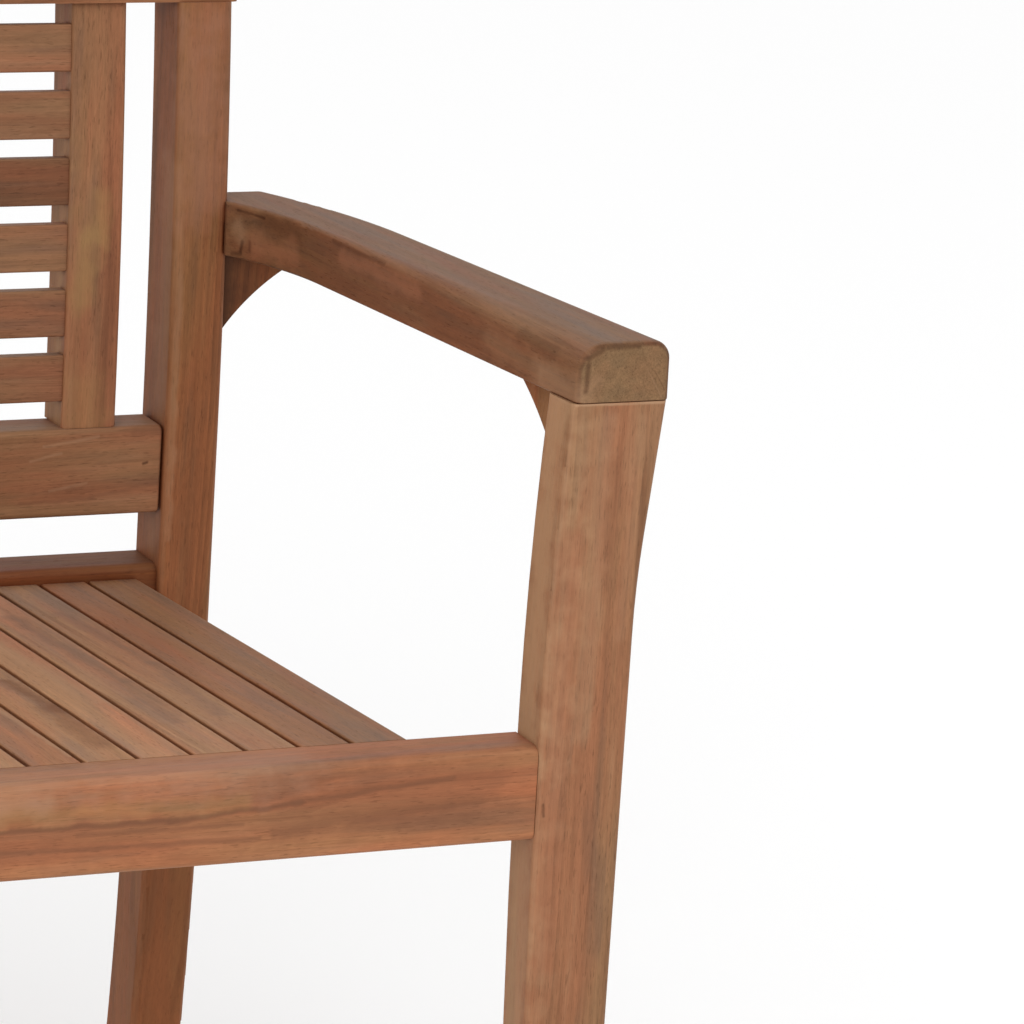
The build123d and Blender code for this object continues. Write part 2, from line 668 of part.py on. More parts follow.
def bench():
    """Every piece of the bench by name."""
    paired = paired_parts()
    parts = {
        "front_rail": front_rail(),
        "rear_seat_rail": rear_seat_rail(),
        "lower_back_rail": lower_back_rail(),
        "crest_rail": crest_rail(),
        "seat_bearer": seat_bearer(),
    }
    dowel_solids = []
    for start, direction, length, names in dowels():
        dowel = pin(start, direction, length)
        hole = pin(start, direction, length, FIT)
        dowel_solids += [dowel, mirrored(dowel)]
        for name in names:
            if name in paired:
                paired[name] = paired[name] - hole
            else:
                parts[name] = cut_both_sides(parts[name], hole)
    for name, solid in paired.items():
        parts[f"{name}_right"] = solid
        parts[f"{name}_left"] = mirrored(solid)
    for place, x in (("outer", outer_stile_x), ("inner", inner_stile_x)):
        solid = stile(x)
        parts[f"back_stile_right_{place}"] = solid
        parts[f"back_stile_left_{place}"] = mirrored(solid)
    for index in range(BACK_SLAT_COUNT):
        solid = back_slat(index)
        parts[f"back_slat_right_{index + 1}"] = solid
        parts[f"back_slat_left_{index + 1}"] = mirrored(solid)
    screw_solids = []
    for index, x in enumerate(slat_centres()):
        at_end = index in (0, SLAT_COUNT - 1)
        width = END_SLAT_WIDTH if at_end else SLAT_PITCH - SLAT_GAP
        parts[f"seat_slat_{index + 1:02d}"] = seat_slat(x, width)
        screw_solids += [driven_screw(start, length) for start, length in slat_screws(x)]
    parts["joint_dowels"] = Compound(children=dowel_solids)
    parts["fixing_screws"] = Compound(children=screw_solids)
    return parts


os.makedirs("parts", exist_ok=True)
for node, shape in bench().items():
    export_step(shape, f"parts/{node}.step")
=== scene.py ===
from collections import namedtuple
from math import pi, radians
from random import Random

import bpy
from mathutils import Matrix, Vector


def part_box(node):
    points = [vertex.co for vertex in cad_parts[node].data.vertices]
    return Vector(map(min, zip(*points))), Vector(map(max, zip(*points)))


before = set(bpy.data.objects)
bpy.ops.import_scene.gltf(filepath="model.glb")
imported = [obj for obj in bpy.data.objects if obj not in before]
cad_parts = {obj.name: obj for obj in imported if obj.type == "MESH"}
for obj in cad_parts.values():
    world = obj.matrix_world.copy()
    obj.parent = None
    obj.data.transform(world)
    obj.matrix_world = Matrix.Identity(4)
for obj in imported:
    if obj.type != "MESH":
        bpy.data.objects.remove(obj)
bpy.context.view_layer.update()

# Teak garden bench. Every stick keeps its CAD shape and gets a board of its own: the teak is a
# solid texture of growth rings round a pith that lies off to one side of each stick, so that
# faces, edges and end grain agree, and no two boards match. Metres, in the bench's own frame.

# Camera
CAMERA_PLACE = (-0.86443, -3.03256, 1.36767)
CAMERA_RIGHT = (0.90745, -0.41543, 0.06299)
CAMERA_DOWN = (-0.04862, -0.25273, -0.96633)
CAMERA_AHEAD = (0.41736, 0.87382, -0.24953)
CAMERA_LENS = 194.3
CAMERA_SENSOR = 36.0

# Light and floor
SKY = 1.0
KEY_POWER = 60.0
KEY_SIZE = 2.6
KEY_PLACE = (-2.2, -3.4, 2.6)
KEY_TARGET = (0.1, 0, 0.4)
FLOOR_REACH = 30.0
FLOOR_WHITE = (0.97, 0.97, 0.97, 1)

# Teak: the colours it is mixed from, in linear colour
RED = (0.380, 0.155, 0.080)
TAN = (0.352, 0.180, 0.092)
GREY = (0.215, 0.121, 0.079)
LATE = (0.17, 0.070, 0.036)
END = (0.46, 0.30, 0.165)
PALE = (0.40, 0.235, 0.135)
# grey for the faces that look up: partly dust, partly a painted sheen of the white sky
DUST_AND_SHEEN = (0.30, 0.235, 0.195)
# colour that corners are darkened towards: painted shade where boards meet, together with dirt in the
# joints
JOINT_DIRT_AND_SHADE = (0.52, 0.34, 0.26)

# Dowels and screws
DOWEL_TINT = (0.85, 0.8, 0.78)
STEEL_DARK = (0.50, 0.50, 0.49)
STEEL_PALE = (0.68, 0.68, 0.66)

# Colours of single marks only
SAP = (0.33, 0.195, 0.075)
PALE_SAP = (0.42, 0.25, 0.135)
FAWN = (0.34, 0.195, 0.110)
ROSE = (0.34, 0.160, 0.100)
RUSSET = (0.21, 0.072, 0.026)
FADED = (0.42, 0.27, 0.19)
# dark marks: dirt and checks on most boards, painted shade and a painted shadow next to the post on
# the arm and the rear bracket
DIRT_AND_SHADE = (0.060, 0.022, 0.010)

# Teak: how it grows and how it is cut, in metres
RING_WIDTH = 0.0052
RING_WANDER = 0.026         # how far the rings stray from true circles
PITH_AWAY = (0.035, 0.13)   # nearest and farthest the pith lies from the middle of a board
PITH_LEAN = 0.03            # most that the pith runs off the line of the board
JOINT_DIRT_AND_SHADE_REACH = 0.006        # how far from a joint the painted corner shade and the dirt spread
FIGURE = (0.22, 0.45)       # faintest and strongest ring lines of a board
GRAIN_AXES = {"x": (1, 0, 0), "y": (0, 1, 0), "z": (0, 0, 1)}
SEAT_SLOPE = 3.0            # degrees, down towards the back
ARM_SLOPE = 1.6

# How the colour of each kind of board differs from the teak above, channel by channel. The seat
# slats by their numbers: the seven at the right-hand end have one each, the others draw one.
BOARD_TINTS = {
    "front_leg": (0.74, 0.75, 0.70),
    "front_rail": (0.97, 0.84, 0.73),
    "rear_post": (0.62, 0.53, 0.39),
    "back_stile": (0.745, 0.695, 0.645),
    "back_slat_right_4": (0.50, 0.46, 0.43),
    "back_slat": (0.69, 0.68, 0.66),
    "lower_back_rail": (0.69, 0.66, 0.61),
    "rear_seat_rail": (0.45, 0.30, 0.18),
    "crest_rail": (0.71, 0.65, 0.57),
    "armrest": (0.50, 0.47, 0.42),
    "arm_bracket_front": (0.78, 0.70, 0.57),
    # the rear bracket's darker tint is painted shade under the arm beside the post
    "arm_bracket_rear": (0.46, 0.35, 0.25),
    "side_rail": (0.71, 0.65, 0.57),
    "seat_bearer": (0.71, 0.65, 0.57),
}
SEAT_TINTS = {
    25: (0.76, 0.68, 0.56),
    24: (0.82, 0.71, 0.60),
    23: (0.98, 0.98, 0.93),
    22: (1.10, 1.12, 1.08),
    21: (1.20, 1.22, 1.17),
    20: (1.10, 1.10, 1.02),
    19: (1.01, 0.92, 0.84),
}
BOARD_SPREAD = 0.04         # most that a board is lighter or darker than its kind
SEAT_SPREAD = 0.05

# Share of red in the wood, from 0 for all tan to 1 for all red
USUAL_REDNESS = 0.5
REDNESS = {
    "front_leg": 0.66,
    "front_rail": 0.74,
    "rear_post": 0.66,
    "armrest": 0.45,
    "back_slat": 0.42,
    "seat_slat": 0.30,
}

# Marks on single boards: from, to, half width, strength and colour. Each is a soft line between two
# points of the bench; a ripple bends it and blurs its edge.
RIPPLES_PER_METRE = 70.0
RIPPLE_SWING = 2.0          # times the half width of the mark
MARK_FADE = (1.7, 0.1)      # half widths from the line where a mark starts and where it is full
MARKS = {
    "front_rail": [
        ((-0.300, -0.2675, 0.3960), (0.440, -0.2675, 0.3990), 0.0110, 0.34, LATE),
        ((-0.300, -0.2675, 0.4040), (0.125, -0.2675, 0.4090), 0.0016, 0.95, LATE),
        ((0.120, -0.2675, 0.4085), (0.260, -0.2675, 0.4075), 0.0017, 0.90, LATE),
        ((0.255, -0.2675, 0.4075), (0.335, -0.2675, 0.4125), 0.0019, 0.90, LATE),
        ((0.330, -0.2675, 0.4125), (0.430, -0.2675, 0.4205), 0.0017, 0.60, LATE),
        ((0.150, -0.2675, 0.3960), (0.310, -0.2675, 0.3925), 0.0016, 0.55, LATE),
        ((0.320, -0.2675, 0.3960), (0.430, -0.2675, 0.4030), 0.0030, 0.40, LATE),
        ((0.200, -0.2675, 0.4030), (0.300, -0.2675, 0.4020), 0.0014, 0.45, LATE),
        ((0.330, -0.2675, 0.4180), (0.450, -0.2675, 0.4150), 0.0200, 0.42, LATE),
        ((-0.200, -0.2675, 0.4180), (0.180, -0.2675, 0.4220), 0.0080, 0.30, PALE),
        ((-0.450, -0.2560, 0.4340), (0.330, -0.2560, 0.4340), 0.0160, 0.24, FADED),
        ((0.050, -0.2675, 0.4150), (0.300, -0.2675, 0.4150), 0.0050, 0.28, SAP),
    ],
    "front_leg_right": [
        ((0.511, -0.2695, 0.630), (0.509, -0.2695, 0.440), 0.0060, 0.22, PALE),
        ((0.521, -0.2695, 0.610), (0.519, -0.2695, 0.530), 0.0040, 0.22, LATE),
        ((0.535, -0.2695, 0.630), (0.530, -0.2695, 0.500), 0.0040, 0.16, PALE),
        ((0.488, -0.2500, 0.640), (0.484, -0.2500, 0.430), 0.0200, 0.65, PALE_SAP),
        ((0.484, -0.2500, 0.430), (0.492, -0.2500, 0.040), 0.0170, 0.50, PALE_SAP),
        ((0.495, -0.2695, 0.560), (0.494, -0.2695, 0.300), 0.0060, 0.30, RED),
        ((0.4878, -0.2695, 0.400), (0.4882, -0.2695, 0.393), 0.0010, 0.55, DIRT_AND_SHADE),
        # painted highlight: pale lines along the eased edges where the arm sits on the leg
        ((0.4895, -0.2690, 0.6397), (0.5505, -0.2690, 0.6397), 0.0009, 0.85, PALE),
        ((0.4890, -0.2690, 0.6395), (0.4890, -0.2345, 0.6388), 0.0009, 0.75, PALE),
    ],
    "back_stile_right_outer": [
        ((0.380, 0.205, 0.664), (0.376, 0.205, 0.640), 0.0085, 0.42, SAP),
        ((0.376, 0.204, 0.640), (0.367, 0.204, 0.600), 0.0080, 0.46, SAP),
        ((0.370, 0.204, 0.540), (0.374, 0.204, 0.520), 0.0130, 0.30, SAP),
        ((0.357, 0.225, 0.700), (0.357, 0.225, 0.500), 0.0140, 0.30, SAP),
        ((0.369, 0.204, 0.598), (0.378, 0.204, 0.601), 0.0008, 0.60, LATE),
        ((0.378, 0.204, 0.601), (0.388, 0.204, 0.588), 0.0008, 0.45, LATE),
    ],
    "lower_back_rail": [
        ((0.345, 0.201, 0.5045), (0.382, 0.201, 0.5095), 0.0010, 0.28, PALE),
        ((0.336, 0.201, 0.4950), (0.357, 0.201, 0.4995), 0.0010, 0.25, PALE),
        ((0.350, 0.201, 0.4750), (0.375, 0.201, 0.4790), 0.0010, 0.20, PALE),
        ((0.330, 0.201, 0.4670), (0.380, 0.201, 0.4690), 0.0014, 0.40, LATE),
        ((0.378, 0.201, 0.4690), (0.436, 0.201, 0.4790), 0.0014, 0.35, LATE),
        ((0.4135, 0.201, 0.4900), (0.4160, 0.201, 0.4905), 0.0010, 0.80, DIRT_AND_SHADE),
        ((0.408, 0.201, 0.5115), (0.427, 0.201, 0.5115), 0.0040, 0.45, LATE),
    ],
    "armrest_right": [
        # the first three marks are painted shade low on the arm's inner face where it meets the post
        ((0.4669, 0.183, 0.6325), (0.4672, 0.182, 0.6390), 0.0015, 0.85, DIRT_AND_SHADE),
        ((0.4697, 0.175, 0.6350), (0.4698, 0.175, 0.6400), 0.0015, 0.85, DIRT_AND_SHADE),
        ((0.4640, 0.191, 0.6300), (0.4665, 0.183, 0.6310), 0.0014, 0.60, DIRT_AND_SHADE),
        ((0.4650, 0.188, 0.6590), (0.4735, 0.163, 0.6585), 0.0010, 0.85, DIRT_AND_SHADE),
        ((0.4735, 0.163, 0.6570), (0.4810, 0.125, 0.6550), 0.0070, 0.40, DIRT_AND_SHADE),
        ((0.4655, 0.187, 0.6480), (0.4670, 0.182, 0.6430), 0.0060, 0.30, PALE),
        ((0.4720, 0.168, 0.6400), (0.4800, 0.130, 0.6420), 0.0080, 0.35, RED),
        ((0.4845, 0.060, 0.6550), (0.4870, -0.050, 0.6580), 0.0060, 0.35, RED),
        ((0.4840, 0.075, 0.6620), (0.4860, 0.000, 0.6640), 0.0016, 0.45, DIRT_AND_SHADE),
        ((0.4900, -0.190, 0.6640), (0.4930, -0.235, 0.6640), 0.0045, 0.26, DIRT_AND_SHADE),
        ((0.4890, -0.150, 0.6500), (0.4910, -0.220, 0.6480), 0.0080, 0.25, TAN),
        ((0.4905, -0.225, 0.6450), (0.4920, -0.266, 0.6440), 0.0120, 0.45, FAWN),
        ((0.4970, -0.2690, 0.6480), (0.4985, -0.2690, 0.6640), 0.0016, 0.60, DIRT_AND_SHADE),
        ((0.4990, -0.2685, 0.6670), (0.5070, -0.2680, 0.6715), 0.0016, 0.60, DIRT_AND_SHADE),
        ((0.5100, -0.2680, 0.6720), (0.5300, -0.2680, 0.6725), 0.0014, 0.50, DIRT_AND_SHADE),
        ((0.5340, -0.2695, 0.6620), (0.5455, -0.2695, 0.6430), 0.0005, 0.20, PALE),
        ((0.5380, -0.2695, 0.6620), (0.5480, -0.2695, 0.6460), 0.0004, 0.45, DIRT_AND_SHADE),
    ],
    "rear_post_right": [
        ((0.446, 0.196, 0.770), (0.444, 0.196, 0.670), 0.0240, 0.45, ROSE),
        ((0.443, 0.200, 0.360), (0.446, 0.215, 0.020), 0.0300, 0.50, RUSSET),
        # painted highlight along the post's inner front rounded edge
        ((0.4320, 0.1975, 0.780), (0.4318, 0.1975, 0.440), 0.0022, 0.25, PALE),
        ((0.429, 0.240, 0.780), (0.429, 0.240, 0.440), 0.0060, 0.18, DIRT_AND_SHADE),
        ((0.427, 0.214, 0.680), (0.427, 0.212, 0.440), 0.0120, 0.35, TAN),
    ],
    "arm_bracket_rear_right": [
        # painted shadow of the post down the front of the bracket, and painted shade under the arm
        ((0.4660, 0.206, 0.632), (0.4660, 0.206, 0.580), 0.0125, 0.80, DIRT_AND_SHADE),
        ((0.4860, 0.206, 0.634), (0.4760, 0.206, 0.628), 0.0040, 0.30, DIRT_AND_SHADE),
    ],
    "seat_slat_22": [
        ((0.298, 0.120, 0.415), (0.306, -0.060, 0.425), 0.0055, 0.60, GREY),
        ((0.306, -0.060, 0.425), (0.300, -0.160, 0.431), 0.0060, 0.55, GREY),
    ],
    "seat_slat_23": [
        ((0.330, 0.120, 0.415), (0.339, -0.020, 0.424), 0.0050, 0.50, GREY),
        ((0.339, -0.020, 0.424), (0.332, -0.150, 0.430), 0.0060, 0.55, GREY),
    ],
    "seat_slat_20": [
        ((0.236, -0.040, 0.424), (0.244, -0.120, 0.428), 0.0050, 0.65, LATE),
        ((0.240, -0.110, 0.428), (0.236, -0.200, 0.433), 0.0075, 0.50, LATE),
    ],
    "seat_slat_21": [
        ((0.263, 0.100, 0.416), (0.272, -0.100, 0.427), 0.0060, 0.40, PALE),
    ],
    "seat_slat_19": [
        ((0.207, 0.000, 0.421), (0.212, -0.220, 0.434), 0.0018, 0.65, PALE),
    ],
}


# ---------------------------------------------------------------- node helpers
class Tree:
    """Builds the nodes of a material or a group, one call for each node."""

    def __init__(self, tree):
        self.tree = tree
        self.column = 0

    def node(self, kind, **settings):
        made = self.tree.nodes.new(kind)
        made.location = (self.column * 180, 0)
        self.column += 1
        for name, value in settings.items():
            setattr(made, name, value)
        return made

    def feed(self, socket, value):
        if isinstance(value, bpy.types.NodeSocket):
            self.tree.links.new(value, socket)
        elif value is not None:
            socket.default_value = value

    def math(self, operation, *values, clamp=False):
        made = self.node("ShaderNodeMath", operation=operation, use_clamp=clamp)
        for socket, value in zip(made.inputs, values):
            self.feed(socket, value)
        return made.outputs[0]

    def vector(self, operation, *values):
        made = self.node("ShaderNodeVectorMath", operation=operation)
        for socket, value in zip(made.inputs, values):
            self.feed(socket, value)
        scalar = operation in ("LENGTH", "DOT_PRODUCT", "DISTANCE")
        return made.outputs["Value" if scalar else "Vector"]

    def scaled(self, vector, factor):
        made = self.node("ShaderNodeVectorMath", operation="SCALE")
        self.feed(made.inputs[0], vector)
        self.feed(made.inputs["Scale"], factor)
        return made.outputs["Vector"]

    def noise(self, vector, detail=2.0, roughness=0.5, distortion=0.0, output="Fac"):
        made = self.node("ShaderNodeTexNoise", noise_dimensions="3D")
        self.feed(made.inputs["Vector"], vector)
        made.inputs["Scale"].default_value = 1.0
        made.inputs["Detail"].default_value = detail
        made.inputs["Roughness"].default_value = roughness
        made.inputs["Distortion"].default_value = distortion
        return made.outputs[output]

    def ramp(self, value, low, high, start=0.0, end=1.0):
        made = self.node("ShaderNodeMapRange", interpolation_type="SMOOTHSTEP")
        self.feed(made.inputs["Value"], value)
        self.feed(made.inputs["From Min"], low)
        self.feed(made.inputs["From Max"], high)
        self.feed(made.inputs["To Min"], start)
        self.feed(made.inputs["To Max"], end)
        return made.outputs["Result"]

    def combined(self, x, y=0.0):
        made = self.node("ShaderNodeCombineXYZ")
        self.feed(made.inputs["X"], x)
        self.feed(made.inputs["Y"], y)
        return made.outputs[0]

    def product(self, value, *others):
        for other in others:
            value = self.math("MULTIPLY", value, other)
        return value

    def about_one(self, noise, swing):
        """A factor that moves about 1 as a noise moves about its middle."""
        return self.math("MULTIPLY_ADD", self.math("SUBTRACT", noise, 0.5), swing, 1.0)

    def cut_by(self, share, value):
        """A factor of 1 that falls by a share where a value is 1."""
        return self.math("MULTIPLY_ADD", value, -share, 1.0)

    def mix(self, factor, a, b):
        made = self.node("ShaderNodeMix", data_type="RGBA", blend_type="MIX")
        made.clamp_factor = True
        self.feed(made.inputs["Factor"], factor)
        for name, value in (("A", a), ("B", b)):
            socket = [s for s in made.inputs if s.name == name and s.type == "RGBA"][0]
            self.feed(socket, (*value, 1.0) if isinstance(value, tuple) else value)
        return [s for s in made.outputs if s.type == "RGBA"][0]


def new_group(name, inputs, outputs):
    """A shader node group with its sockets, the tree builder and its two end nodes."""
    group = bpy.data.node_groups.new(name, "ShaderNodeTree")
    for kind, label, default in inputs:
        socket = group.interface.new_socket(label, in_out="INPUT", socket_type=kind)
        if default is not None:
            socket.default_value = default
    for kind, label in outputs:
        group.interface.new_socket(label, in_out="OUTPUT", socket_type=kind)
    tree = Tree(group)
    return group, tree, tree.node("NodeGroupInput"), tree.node("NodeGroupOutput")


# ---------------------------------------------------------------- teak
def drawn_out(t, sample, along, across):
    """A noise place that is drawn out along the grain; both are in cycles per metre."""
    return t.vector("MULTIPLY", sample, (along, across, across))


def ring_lines(t, position, sample, seed):
    """Late wood: thin dark lines of uneven growth rings round the pith, faint for the most part."""
    wander = t.noise(drawn_out(t, sample, 2.2, 9), 3.0, output="Color")
    wander = t.vector("SUBTRACT", wander, (0.5, 0.5, 0.5))
    bent = t.vector("ADD", position, t.vector("MULTIPLY", wander, (0.0, RING_WANDER, RING_WANDER)))
    radius = t.vector("LENGTH", t.vector("MULTIPLY", bent, (0, 1, 1)))
    growth = t.noise(t.combined(t.math("MULTIPLY", radius, 62.0), seed), 2.0)
    phase = t.math("FRACT", t.math("MULTIPLY_ADD", growth, 3.2, t.math("DIVIDE", radius, RING_WIDTH)))
    rise = t.ramp(phase, 0.10, 0.90)
    fall = t.ramp(phase, 0.90, 1.0, 1.0, 0.0)
    presence = t.ramp(t.noise(drawn_out(t, sample, 3.0, 42), 2.0), 0.42, 0.72, 0.10, 1.0)
    return t.product(rise, fall, presence)


def wood_tones(t, sample, cloud, line, redness, figure):
    """Broad patches of red, tan, grey and pale wood, crossed by ring lines and dark streaks."""
    zone = t.noise(drawn_out(t, sample, 4.0, 40), 3.0, 0.55)
    streak = t.noise(drawn_out(t, sample, 3.5, 85), 3.0, 0.55, 0.4)
    redder = t.math("MULTIPLY_ADD", t.math("SUBTRACT", zone, 0.5), 3.4, redness)
    wood = t.mix(t.ramp(redder, 0.0, 1.0), TAN, RED)
    wood = t.mix(t.math("MULTIPLY", t.ramp(cloud, 0.50, 0.74), 0.60), wood, GREY)
    wood = t.mix(t.math("MULTIPLY", t.ramp(cloud, 0.44, 0.26), 0.35), wood, PALE)
    wood = t.mix(t.math("MULTIPLY", line, figure), wood, LATE)
    dark_streak = t.math("MULTIPLY", t.ramp(streak, 0.58, 0.76), t.math("MULTIPLY", figure, 1.2))
    return t.mix(dark_streak, wood, LATE)


def teak_group():
    """The wood itself, for a position measured from the pith with X along the grain."""
    group, t, given, result = new_group(
        "teak_wood",
        [
            ("NodeSocketVector", "Position", None),
            ("NodeSocketFloat", "Seed", 0.0),
            ("NodeSocketColor", "Tint", (1, 1, 1, 1)),
            ("NodeSocketFloat", "Redness", 0.5),
            ("NodeSocketFloat", "Figure", 0.5),
            ("NodeSocketFloat", "End", 0.0),
            ("NodeSocketFloat", "Arris", 0.0),
            ("NodeSocketFloat", "Upward", 0.0),
        ],
        [
            ("NodeSocketColor", "Color"),
            ("NodeSocketFloat", "Roughness"),
            ("NodeSocketFloat", "Height"),
        ],
    )
    position, seed = given.outputs["Position"], given.outputs["Seed"]
    sample = t.vector("ADD", position, t.scaled((3.1, 7.7, 5.3), seed))
    line = ring_lines(t, position, sample, seed)
    cloud = t.noise(drawn_out(t, sample, 7.0, 62), 3.0, 0.55)
    redness, figure = given.outputs["Redness"], given.outputs["Figure"]
    wood = wood_tones(t, sample, cloud, line, redness, figure)

    # strands, sanding flecks, fibres and open pores; the fibres start at staggered places
    strand = t.noise(drawn_out(t, sample, 6.0, 170), 3.0, 0.6)
    stagger = t.combined(t.math("MULTIPLY", t.noise(drawn_out(t, sample, 1.0, 260), 2.0), 9.0))
    fleck = t.noise(t.vector("ADD", drawn_out(t, sample, 210, 130), stagger), 3.0, 0.6)
    fibre = t.noise(t.vector("ADD", drawn_out(t, sample, 30, 760), stagger), 3.0, 0.6)
    pore = t.ramp(t.noise(drawn_out(t, sample, 120, 1300), 1.0), 0.62, 0.72)

    # end grain is paler and shows its pores as dots; where it is rounded over it is torn and dark
    end = given.outputs["End"]
    full_end = t.ramp(end, 0.72, 0.97)
    wood = t.mix(t.math("MULTIPLY", full_end, 0.60), wood, END)
    torn = t.math("MULTIPLY", t.ramp(end, 0.35, 0.70), t.ramp(end, 0.80, 0.97, 1.0, 0.0))
    speckle = t.ramp(t.noise(drawn_out(t, sample, 90, 900), 2.0), 0.45, 0.70)
    shade = t.product(
        t.about_one(strand, 0.56),
        t.about_one(fibre, 0.60),
        t.about_one(fleck, 0.30),
        t.cut_by(0.25, pore),
        t.cut_by(0.16, t.math("MULTIPLY", full_end, speckle)),
        t.cut_by(0.24, torn),
    )

    # rounded edges are rubbed paler, partly wear and partly a painted highlight, and surfaces that
    # face the sky are greyed a little, partly dust and partly a painted sheen of the white sky
    rubbed_and_highlight = t.math("MULTIPLY", given.outputs["Arris"], t.ramp(strand, 0.35, 0.65, 0.35, 1.0))
    tinted = t.vector("MULTIPLY", t.scaled(wood, shade), given.outputs["Tint"])
    tinted = t.mix(t.math("MULTIPLY", rubbed_and_highlight, 0.16), tinted, PALE)
    dust_and_sheen_share = t.math("MULTIPLY", given.outputs["Upward"], t.ramp(cloud, 0.30, 0.70, 0.05, 0.18))
    t.feed(result.inputs["Color"], t.mix(dust_and_sheen_share, tinted, DUST_AND_SHEEN))

    rough = t.math("MULTIPLY_ADD", fibre, 0.18, 0.50)
    rough = t.math("MULTIPLY_ADD", pore, 0.12, rough)
    rough = t.math("MULTIPLY_ADD", full_end, 0.12, rough)
    rough = t.math("MULTIPLY_ADD", rubbed_and_highlight, -0.08, rough)
    t.feed(result.inputs["Roughness"], rough)
    height = t.math("MULTIPLY_ADD", line, 0.4, fibre)
    height = t.math("MULTIPLY_ADD", fleck, 0.35, height)
    height = t.math("MULTIPLY_ADD", pore, -0.9, height)
    t.feed(result.inputs["Height"], height)
    return group


def grain_turn(axis, slope):
    """Rotation that brings the grain of a board to X, for grain along an axis with a slope."""
    along = Vector(GRAIN_AXES[axis])
    across = Vector(GRAIN_AXES["x" if axis == "y" else "y"])
    tilt = Matrix.Rotation(radians(-slope), 3, "X")
    along, across = tilt @ along, tilt @ across
    return Matrix((along, across, along.cross(across)))


def marked(tree, colour, place, marks):
    """A board's colour with its own marks on it: streaks, checks, sapwood and pale lines."""
    ripple = tree.noise(tree.scaled(place, RIPPLES_PER_METRE), 3.0, output="Color")
    ripple = tree.vector("SUBTRACT", ripple, (0.5, 0.5, 0.5))
    for start, end, reach, strength, ink in marks:
        start, along = Vector(start), Vector(end) - Vector(start)
        moved = tree.vector("ADD", place, tree.scaled(ripple, reach * RIPPLE_SWING))
        away = tree.vector("SUBTRACT", moved, tuple(start))
        run = tree.vector("DOT_PRODUCT", away, tuple(along / along.length_squared))
        run = tree.math("MINIMUM", tree.math("MAXIMUM", run, 0.0), 1.0)
        gap = tree.vector("LENGTH", tree.vector("SUBTRACT", away, tree.scaled(tuple(along), run)))
        mask = tree.ramp(gap, reach * MARK_FADE[0], reach * MARK_FADE[1], 0.0, strength)
        colour = tree.mix(mask, colour, ink)
    return colour


def from_pith(tree, place, board, turn, rng):
    """Where a point of a board lies, measured from the pith with X along the grain."""
    moved = tree.vector("SUBTRACT", place, tuple(board.middle))
    turned = tree.node("ShaderNodeCombineXYZ")
    for socket, row in zip(turned.inputs, turn):
        tree.feed(socket, tree.vector("DOT_PRODUCT", moved, tuple(row)))
    turned = turned.outputs[0]
    pith = Vector((0, rng.uniform(*PITH_AWAY), 0))
    pith.rotate(Matrix.Rotation(rng.uniform(0, 2 * pi), 3, "X"))
    lean = (0.0, rng.uniform(-PITH_LEAN, PITH_LEAN), rng.uniform(-PITH_LEAN, PITH_LEAN))
    run = tree.vector("DOT_PRODUCT", turned, (1, 0, 0))
    return tree.vector("ADD", tree.vector("ADD", turned, tuple(pith)), tree.scaled(lean, run))


def bump(tree, shader, height, strength, distance):
    """Surface relief from a height."""
    made = tree.node("ShaderNodeBump")
    made.inputs["Strength"].default_value = strength
    made.inputs["Distance"].default_value = distance
    tree.feed(made.inputs["Height"], height)
    tree.feed(shader.inputs["Normal"], made.outputs["Normal"])


def new_material(name):
    """An empty material with its tree builder and its Principled shader."""
    material = bpy.data.materials.new(name)
    material.use_nodes = True
    return material, Tree(material.node_tree), material.node_tree.nodes["Principled BSDF"]


def board_material(name, group, board):
    """Teak for one board, with its own pith, grain, colour and marks."""
    rng = Random(name)
    material, tree, shader = new_material(name)
    place = tree.node("ShaderNodeTexCoord").outputs["Object"]
    turn = grain_turn(board.axis, board.slope)
    position = from_pith(tree, place, board, turn, rng)

    normal = tree.node("ShaderNodeNewGeometry").outputs["Normal"]
    facing = [tree.vector("DOT_PRODUCT", normal, tuple(row)) for row in turn]
    facing = [tree.math("ABSOLUTE", value) for value in facing]
    arris = tree.ramp(tree.math("MINIMUM", facing[1], facing[2]), 0.25, 0.60)
    upward = tree.ramp(tree.vector("DOT_PRODUCT", normal, (0, 0, 1)), 0.80, 0.98)

    wood = tree.node("ShaderNodeGroup", node_tree=group)
    tree.feed(wood.inputs["Position"], position)
    tree.feed(wood.inputs["End"], 1.0 if board.cut_end else facing[0])
    tree.feed(wood.inputs["Arris"], arris)
    tree.feed(wood.inputs["Upward"], upward)
    wood.inputs["Seed"].default_value = rng.uniform(0, 40)
    wood.inputs["Tint"].default_value = (*board.tint, 1.0)
    wood.inputs["Redness"].default_value = board.redness
    wood.inputs["Figure"].default_value = board.figure
    colour = wood.outputs["Color"]
    if board.marks:
        colour = marked(tree, colour, place, board.marks)

    # painted shade: ambient occlusion darkens the corners where boards meet, standing in for the
    # shade there as well as for dirt and old glue in the joints
    corner_occlusion = tree.node("ShaderNodeAmbientOcclusion", samples=6)
    corner_occlusion.inputs["Distance"].default_value = JOINT_DIRT_AND_SHADE_REACH
    open_air = tree.ramp(corner_occlusion.outputs["AO"], 0.30, 0.80)
    colour = tree.vector("MULTIPLY", colour, tree.mix(open_air, JOINT_DIRT_AND_SHADE, (1.0, 1.0, 1.0)))

    tree.feed(shader.inputs["Base Color"], colour)
    tree.feed(shader.inputs["Roughness"], wood.outputs["Roughness"])
    bump(tree, shader, wood.outputs["Height"], strength=0.35, distance=0.0004)
    shader.inputs["IOR"].default_value = 1.45
    shader.inputs["Specular IOR Level"].default_value = 0.15
    return material


